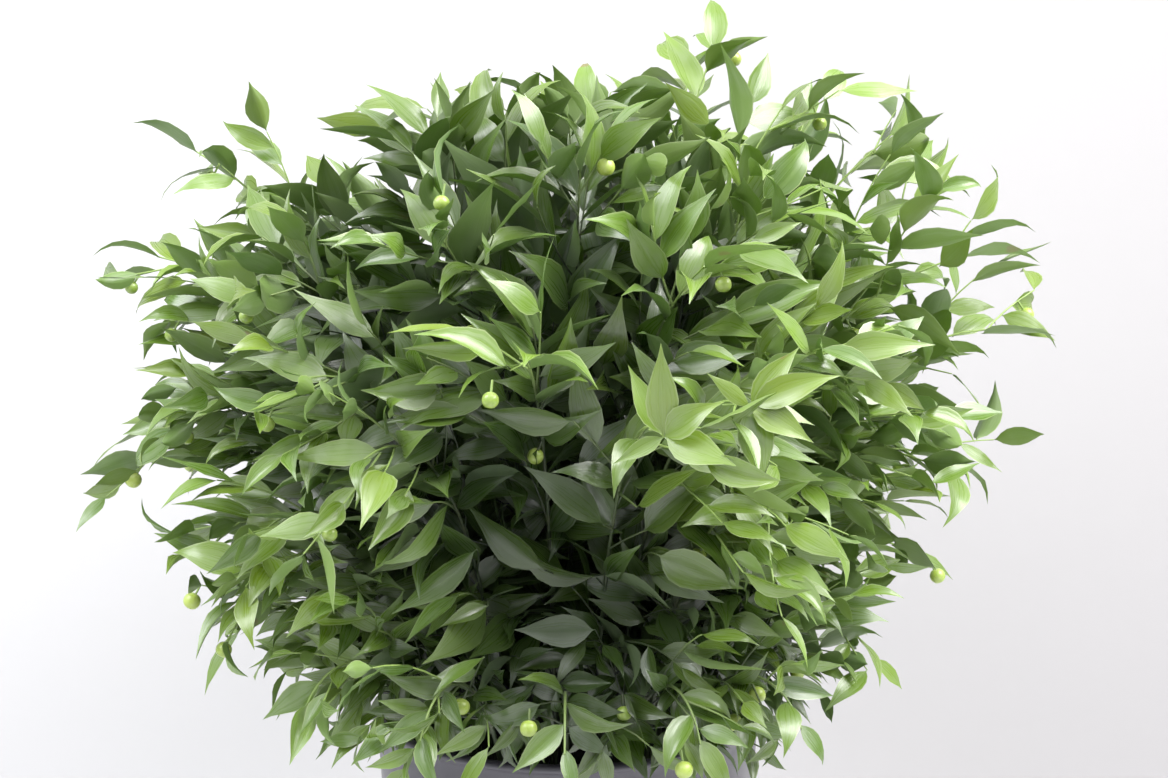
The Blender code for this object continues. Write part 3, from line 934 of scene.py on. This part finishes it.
def leaf_colours(tree, place):
    """Shared by both faces of a leaf: its green, streaks, blemishes, wax bloom with painted sheen, painted
    shade, and veins.
    """
    uv = node_of(tree, "ShaderNodeUVMap", uv_map="UVMap").outputs["UV"]
    parts = node_of(tree, "ShaderNodeSeparateXYZ", {0: uv})
    across = calculated(tree, "ABSOLUTE", calculated(tree, "SUBTRACT", parts.outputs["X"], 0.5))
    tone = carried(tree, "tone")
    youth_and_light = carried(tree, "youth_and_light")
    veins = leaf_noise(tree, parts, tone, 14.0, 1.6, 40.0)
    cloudy = leaf_noise(tree, parts, tone, 1.6, 2.6, 60.0)
    patches = noise(tree, place, 60.0, 2.0)
    between_veins = ranged(tree, veins, 0.30, 0.66, 0.35, 1.0)
    # A pale wax bloom with painted whitish sheen, in patches between the veins and least on pale leaves.
    wax_and_sheen = calculated(tree, "MULTIPLY", ranged(tree, cloudy, 0.44, 0.66), between_veins)
    wax_and_sheen = calculated(tree, "MULTIPLY", wax_and_sheen, ranged(tree, youth_and_light, 0.0, 1.0, 0.26, 0.08))
    dry = calculated(tree, "MULTIPLY", ranged(tree, patches, 0.66, 0.70), ranged(tree, tone, 0.88, 0.94))
    # Paler where a leaf is young, and where painted light lies on the crown's outer part.
    green = mixed(tree, youth_and_light, mixed(tree, tone, OLD_DARK, OLD_PALE), YOUNG_AND_LIT)
    # The last layer is painted shade, deepest inside the bunch and near the pot's mouth.
    layers = (
        (ranged(tree, patches, 0.35, 0.75, 0.0, 0.30), PATCH),
        (ranged(tree, veins, 0.40, 0.70, 0.0, 0.28), VEIN),
        (wax_and_sheen, WAX_AND_SHEEN),
        (ranged(tree, across, 0.022, 0.0, 0.0, 0.30), RIB),
        (calculated(tree, "MULTIPLY", dry, DRYNESS), DRY_SPOT),
        (ranged(tree, across, 0.458, 0.488, 0.0, 0.90), PALE_EDGE),
        (calculated(tree, "MULTIPLY", inside(tree, place), SHADE), SHADED_GREEN),
    )
    for share, colour in layers:
        green = mixed(tree, share, green, colour)
    return green, veins


def leaf_group():
    """The leaf colours as a node group, which both faces' materials use."""
    group = bpy.data.node_groups.new("leaf_green", "ShaderNodeTree")
    group.interface.new_socket("Place", in_out="INPUT", socket_type="NodeSocketVector")
    group.interface.new_socket("Green", in_out="OUTPUT", socket_type="NodeSocketColor")
    group.interface.new_socket("Veins", in_out="OUTPUT", socket_type="NodeSocketFloat")
    entry = node_of(group, "NodeGroupInput")
    leave = node_of(group, "NodeGroupOutput")
    for socket, name in zip(leaf_colours(group, entry.outputs["Place"]), ("Green", "Veins")):
        group.links.new(socket, leave.inputs[name])
    return group


def joined_shaders(tree, output, share, first, second):
    """Joins two shaders at a material's output, by the share of the second."""
    inputs = {0: share, 1: first.outputs["BSDF"], 2: second.outputs["BSDF"]}
    both = node_of(tree, "ShaderNodeMixShader", inputs)
    tree.links.new(both.outputs["Shader"], output.inputs["Surface"])


def leaf_finish(name, group, bloom_and_sheen, roughness, gloss):
    """One face of a leaf: wax green with a pale coat, painted sheen above and its own paler colour below,
    letting some light through.
    """
    made, tree, skin, output = new_material(name)
    shared = node_of(tree, "ShaderNodeGroup", {"Place": own_place(tree)}, node_tree=group).outputs
    colour = mixed(tree, bloom_and_sheen, shared["Green"], BLOOM_AND_SHEEN)
    rough = ranged(tree, shared["Veins"], 0.30, 0.75, roughness - 0.05, roughness + 0.09)
    set_inputs(tree, skin, {"Base Color": colour, "Roughness": rough, "Specular IOR Level": gloss})
    relief(tree, skin, shared["Veins"], 0.55, 0.0002)
    through = node_of(tree, "ShaderNodeBsdfTranslucent", {"Color": LIT_THROUGH})
    joined_shaders(tree, output, SHINES_THROUGH, skin, through)
    return made


blank = leaf_blank()
green_group = leaf_group()
# The upper face's pale coat is a faint painted sheen; the lower face's is its own paler colour.
leaf_top = leaf_finish("leaf_upper_face", green_group, 0.02, 0.30, 0.88)
leaf_under = leaf_finish("leaf_lower_face", green_group, 0.18, 0.40, 0.66)


# The twigs and the berries: thin green twigs with painted shade inside the bunch, and round green fruit,
# each on a short hanging stalk. A berry is smooth and waxy, and a little drawn in at both its poles.

STALK_RADIUS = 0.0006
SHOOT_RADIUS = 0.0006
STEM_THICKNESS = (0.0016, 0.00045)
FINE_RINGS = 22
BERRY_RADIUS = 0.0045
FINE_BERRY_RADII = (0.0037, 0.0047)
BERRY_DROP = 0.0095
BERRY_SPOTS = (0.038, 0.110)
BERRY_TRIES = 60
BERRY_EVERY = 3
SHOOTS_PER_BERRY = 5
BERRY_OUTSIDE = 0.72
BERRY_SWING = 0.55
BERRY_DIP = 0.35
BERRY_DRAWN_IN = 0.08
TWIG_GREEN = (0.190, 0.290, 0.060, 1.0)
TWIG_SHADED = (0.020, 0.032, 0.012, 1.0)
TWIG_BARK = (0.110, 0.120, 0.050, 1.0)
BERRY_DARK = (0.165, 0.255, 0.036, 1.0)
BERRY_PALE = (0.320, 0.410, 0.066, 1.0)
BERRY_CLOUD = (0.400, 0.480, 0.160, 1.0)


def berry_of(k, route, corners):
    """Where a stem's berry hangs: the draw whose lowest point is a corner of the stem's solid."""
    rng = random.Random(7000 + k)
    for _ in range(BERRY_TRIES):
        start = back_from_tip(route, rng.uniform(*BERRY_SPOTS))
        turn = rng.uniform(0.0, math.tau)
        swung = Vector((math.cos(turn) * BERRY_SWING, math.sin(turn) * BERRY_SWING, -1.0))
        away = swung.normalized()
        if corners.find(start + away * (BERRY_DROP + BERRY_RADIUS))[2] < SAME_CORNER:
            return start, start + away * BERRY_DROP
    return None


def shoot_berries(k, crowd):
    """Berries that hang from some of a stem's outer side shoots, where there is room below them."""
    hung = []
    for n, (shoot, _) in enumerate(shoots[k]):
        start = shoot[4]
        if (5 * k + n) % SHOOTS_PER_BERRY or crown_share(start) < BERRY_OUTSIDE:
            continue
        middle = start + Vector((start.x, start.y, -BERRY_DIP)).normalized() * BERRY_DROP
        room = (sheet.find_nearest(middle)[3] for sheet in neighbours(crowd, middle))
        if min(room, default=1.0) > BERRY_RADIUS:
            hung.append((start, middle))
    return hung


def berry_blank():
    """A round fruit of radius one, a little drawn in at both poles."""
    bm = new_growth()
    bmesh.ops.create_uvsphere(bm, u_segments=16, v_segments=10, radius=1.0)
    for vert in bm.verts:
        vert.co.z *= 1.0 - BERRY_DRAWN_IN * abs(vert.co.z) ** 8
    for face in bm.faces:
        face.smooth = True
        face.material_index = 3
    mesh = bpy.data.meshes.new("berry_blank")
    bm.to_mesh(mesh)
    bm.free()
    return mesh


def add_berry(bm, blank, start, middle, tone):
    """One fruit, hung with its pole to its stalk: the paler it is, the larger."""
    layer = bm.verts.layers.float["tone"]
    radius = FINE_BERRY_RADII[0] + (FINE_BERRY_RADII[1] - FINE_BERRY_RADII[0]) * tone
    before = len(bm.verts)
    bm.from_mesh(blank)
    bm.verts.ensure_lookup_table()
    turn = (start - middle).to_track_quat("Z", "Y").to_matrix()
    for vert in bm.verts[before:]:
        vert[layer] = tone
        vert.co = middle + turn @ (vert.co * radius)


def twig_finish():
    made, tree, skin, _ = new_material("green_twig")
    place = own_place(tree)
    clouds = noise(tree, place, 120.0, 3.0)
    # Painted shade: the twigs are darker inside the bunch.
    green = mixed(tree, inside(tree, place), TWIG_GREEN, TWIG_SHADED)
    colour = mixed(tree, ranged(tree, clouds, 0.45, 0.75, 0.0, 0.3), green, TWIG_BARK)
    rough = ranged(tree, clouds, 0.3, 0.7, 0.42, 0.58)
    set_inputs(tree, skin, {"Base Color": colour, "Roughness": rough})
    relief(tree, skin, clouds, 0.2, 0.0002)
    return made


def berry_finish():
    made, tree, skin, _ = new_material("green_berry")
    clouds = noise(tree, own_place(tree), 260.0, 3.0)
    green = mixed(tree, carried(tree, "tone"), BERRY_DARK, BERRY_PALE)
    colour = mixed(tree, ranged(tree, clouds, 0.4, 0.7, 0.0, 0.35), green, BERRY_CLOUD)
    rough = ranged(tree, clouds, 0.3, 0.7, 0.26, 0.36)
    set_inputs(tree, skin, {"Base Color": colour, "Roughness": rough})
    flesh = {"Subsurface Weight": 0.25, "Subsurface Radius": (0.004, 0.005, 0.001), "Subsurface Scale": 0.5}
    set_inputs(tree, skin, flesh)
    relief(tree, skin, clouds, 0.08, 0.0003)
    return made


def tubes_of(paths):
    """Round closed tubes along paths of (point, radius), as one mesh."""
    curve = bpy.data.curves.new("tubes", "CURVE")
    curve.dimensions = "3D"
    curve.bevel_depth = 1.0
    curve.bevel_resolution = 1
    curve.use_fill_caps = True
    for path in paths:
        spline = curve.splines.new("POLY")
        spline.points.add(len(path) - 1)
        for point, (place, radius) in zip(spline.points, path):
            point.co = (*place, 1.0)
            point.radius = radius
    holder = bpy.data.objects.new("tubes", curve)
    bpy.context.scene.collection.objects.link(holder)
    graph = bpy.context.evaluated_depsgraph_get()
    mesh = bpy.data.meshes.new_from_object(holder.evaluated_get(graph))
    bpy.data.objects.remove(holder)
    bpy.data.curves.remove(curve)
    joined = bmesh.new()
    joined.from_mesh(mesh)
    bmesh.ops.remove_doubles(joined, verts=joined.verts, dist=1e-6)
    for face in joined.faces:
        face.material_index = 2
        face.smooth = True
    joined.to_mesh(mesh)
    joined.free()
    return mesh


berries = [shoot_berries(k, crowd) for k in range(STEM_COUNT)]
for k in range(0, STEM_COUNT, BERRY_EVERY):
    found = berry_of(k, routes[k], solids[k])
    berries[k] += [found] if found else []
fruit = berry_blank()
twig_green = twig_finish()
berry_green = berry_finish()


# Each leafy stem, put together: its own tube, its side shoots, all their leaves and berries, as one piece
# that takes the place of that stem's solid. Leaves look youngest at the tips, and painted light makes those
# on the crown's outer part paler, less so low down.

BRIGHT_SPRIGS = {18: 0.20, 19: 0.10, 20: 0.0, 21: 0.10, 22: 0.15, 23: 0.95, 24: 0.62, 25: 0.40, 26: 0.25}
LOW_PAINTED_LIGHT = 0.30
OUTSIDE_FROM = 0.55
OUTSIDE_OVER = 0.35
AGEING = 0.13
MOST_FRESH = 0.6
PASSED_ON = 0.6
SHOOT_THINNING = 0.6
STALK_END = 0.7
LEAF_CREASE = math.radians(75.0)


def up_to(points, place):
    """The part of a side shoot's path that ends at a place on it."""
    reach = (place - points[0]).length
    return [point for point in points if (point - points[0]).length < reach - 0.002] + [place]


def tapered(points, thick, thin):
    """A path whose radius goes evenly from its thick end to its thin end."""
    last = len(points) - 1
    return [(point, thick + (thin - thick) * k / last) for k, point in enumerate(points)]


def youth_and_light_of(rng, leaf, rank, fresh):
    """How young a leaf looks, most at a sprig's end; painted light makes the crown's outer leaves paler,
    less so low down.
    """
    # Painted light: the further out a leaf lies in the crown, the paler it is made, and low leaves get less
    # of it.
    painted_light = min(max((crown_share(leaf["root"]) - OUTSIDE_FROM) / OUTSIDE_OVER, 0.0), 1.0)
    raised = min(max((leaf["root"].z - POT_HEIGHT) / (SMALL_BELOW - POT_HEIGHT), 0.0), 1.0)
    painted_light *= LOW_PAINTED_LIGHT + (1.0 - LOW_PAINTED_LIGHT) * raised
    by_rank = fresh * max(0.0, 1.0 - rank * AGEING)
    return max(by_rank, painted_light * rng.random() ** 1.5) * rng.uniform(0.7, 1.0)


def leafy_stem(k):
    """One stem with all that grew on it."""
    rng = random.Random(90000 + k)
    fine = stem_route(*courses[k], FINE_RINGS)
    paths = [tapered(fine, *STEM_THICKNESS)]
    for shoot, own in shoots[k]:
        paths.append(tapered(up_to(shoot[1:], own[0]["root"]), SHOOT_RADIUS, SHOOT_RADIUS * SHOOT_THINNING))
    for start, middle in berries[k]:
        paths.append(tapered([start, start.lerp(middle, STALK_END)], STALK_RADIUS, STALK_RADIUS))
    bm = new_growth()
    bm.from_mesh(tubes_of(paths))
    fresh = BRIGHT_SPRIGS.get(k + 1, MOST_FRESH * rng.random() ** 2)
    for rank, leaf in enumerate(leaves[k]):
        add_blade(bm, blank, rng, leaf, youth_and_light_of(rng, leaf, rank, fresh))
    for _, own in shoots[k]:
        shoot_fresh = max(PASSED_ON * fresh, rng.random() ** 4)
        for rank, leaf in enumerate(own):
            add_blade(bm, blank, rng, leaf, youth_and_light_of(rng, leaf, rank, shoot_fresh))
    for start, middle in berries[k]:
        add_berry(bm, fruit, start, middle, rng.random())
    piece = object_of(f"ruscus_stem_{k + 1:02d}", bm, leaf_top, leaf_under, twig_green, berry_green)
    piece.data.set_sharp_from_angle(angle=LEAF_CREASE)
    return piece


for k in range(STEM_COUNT):
    piece = leafy_stem(k)
    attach(piece, "root")
    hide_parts(f"leafy_stem_{k + 1:02d}")

bpy.data.meshes.remove(blank)
bpy.data.meshes.remove(fruit)


# The studio: a pale floor, a white wall close behind the bunch that shows only from its front, with painted
# shade that darkens it to the right, broad soft light from above and from both sides, and the camera.

WALL_BEHIND = 0.345
STAGE_WIDTH = 8.0
FLOOR_WHITE = (0.50, 0.50, 0.51, 1.0)
WALL_WHITE = (0.515, 0.510, 0.518, 1.0)
WALL_SHADED_RIGHT = (0.336, 0.326, 0.334, 1.0)
WALL_SHADE_SPAN = (-0.35, 0.62)


def stage_finish(name, colour, one_sided):
    made, tree, skin, output = new_material(name)
    set_inputs(tree, skin, {"Base Color": colour, "Roughness": 0.9, "Specular IOR Level": 0.1})
    if one_sided:
        # Painted shade: the wall darkens towards the right.
        along = node_of(tree, "ShaderNodeSeparateXYZ", {0: own_place(tree)}).outputs["X"]
        painted_shade = mixed(tree, ranged(tree, along, *WALL_SHADE_SPAN), colour, WALL_SHADED_RIGHT)
        tree.links.new(painted_shade, skin.inputs["Base Color"])
        behind = node_of(tree, "ShaderNodeNewGeometry").outputs["Backfacing"]
        joined_shaders(tree, output, behind, skin, node_of(tree, "ShaderNodeBsdfTransparent"))
    return made


def stage_plane(name, matrix, finish):
    bm = bmesh.new()
    bmesh.ops.create_grid(bm, x_segments=1, y_segments=1, size=STAGE_WIDTH / 2, matrix=matrix)
    made = object_of(name, bm, finish)


stage_plane("floor", Matrix.Identity(4), stage_finish("pale_floor", FLOOR_WHITE, False))
stage_plane(
    "wall",
    Matrix.Translation((0.0, WALL_BEHIND, 0.0)) @ Matrix.Rotation(math.radians(90.0), 4, "X"),
    stage_finish("white_wall", WALL_WHITE, True),
)


def soft_light(name, place, size, power, colour):
    """A square soft box that faces the bunch."""
    data = bpy.data.lights.new(name, "AREA")
    data.size = size
    data.energy = power
    data.color = colour
    lamp = bpy.data.objects.new(name, data)
    lamp.location = place
    lamp.rotation_euler = (CROWN_CENTRE - Vector(place)).to_track_quat("-Z", "Y").to_euler()
    bpy.context.scene.collection.objects.link(lamp)


soft_light("soft_box_right", (1.10, -0.22, 1.70), 1.4, 100.0, (1.0, 0.99, 0.97))
soft_light("soft_box_left", (-1.25, -0.45, 1.65), 1.2, 43.0, (0.97, 0.99, 1.0))

AIR_WHITE = (0.97, 0.98, 1.0, 1.0)
LIGHT_LOW = 0.44
LIGHT_HIGH = 2.60
SEEN_AIR = 0.93
world = bpy.data.worlds.new("studio_air")
bpy.context.scene.world = world
world.use_nodes = True
air = world.node_tree
sky = air.nodes["Background"]
sky.inputs["Color"].default_value = AIR_WHITE
direction = node_of(air, "ShaderNodeTexCoord").outputs["Generated"]
height = node_of(air, "ShaderNodeSeparateXYZ", {0: direction}).outputs["Z"]
lit = ranged(air, height, -0.05, 0.95, LIGHT_LOW, LIGHT_HIGH)
seen = node_of(air, "ShaderNodeLightPath").outputs["Is Camera Ray"]
strength = node_of(air, "ShaderNodeMix", {"Factor": seen, "A": lit, "B": SEEN_AIR}, data_type="FLOAT")
air.links.new(strength.outputs["Result"], sky.inputs["Strength"])

LENS = 70.0
SENSOR = 36.0
CAMERA_PLACE = (0.009, -1.200, 0.575)
CAMERA_PITCH = 10.0
SOFT_TONES = 1.10
lens = bpy.data.cameras.new("camera")
lens.lens = LENS
lens.sensor_width = SENSOR
camera = bpy.data.objects.new("camera", lens)
camera.location = CAMERA_PLACE
camera.rotation_euler = (math.radians(90.0 - CAMERA_PITCH), 0.0, 0.0)
bpy.context.scene.collection.objects.link(camera)
bpy.context.scene.camera = camera
bpy.context.scene.view_settings.view_transform = "Standard"
bpy.context.scene.view_settings.gamma = SOFT_TONES
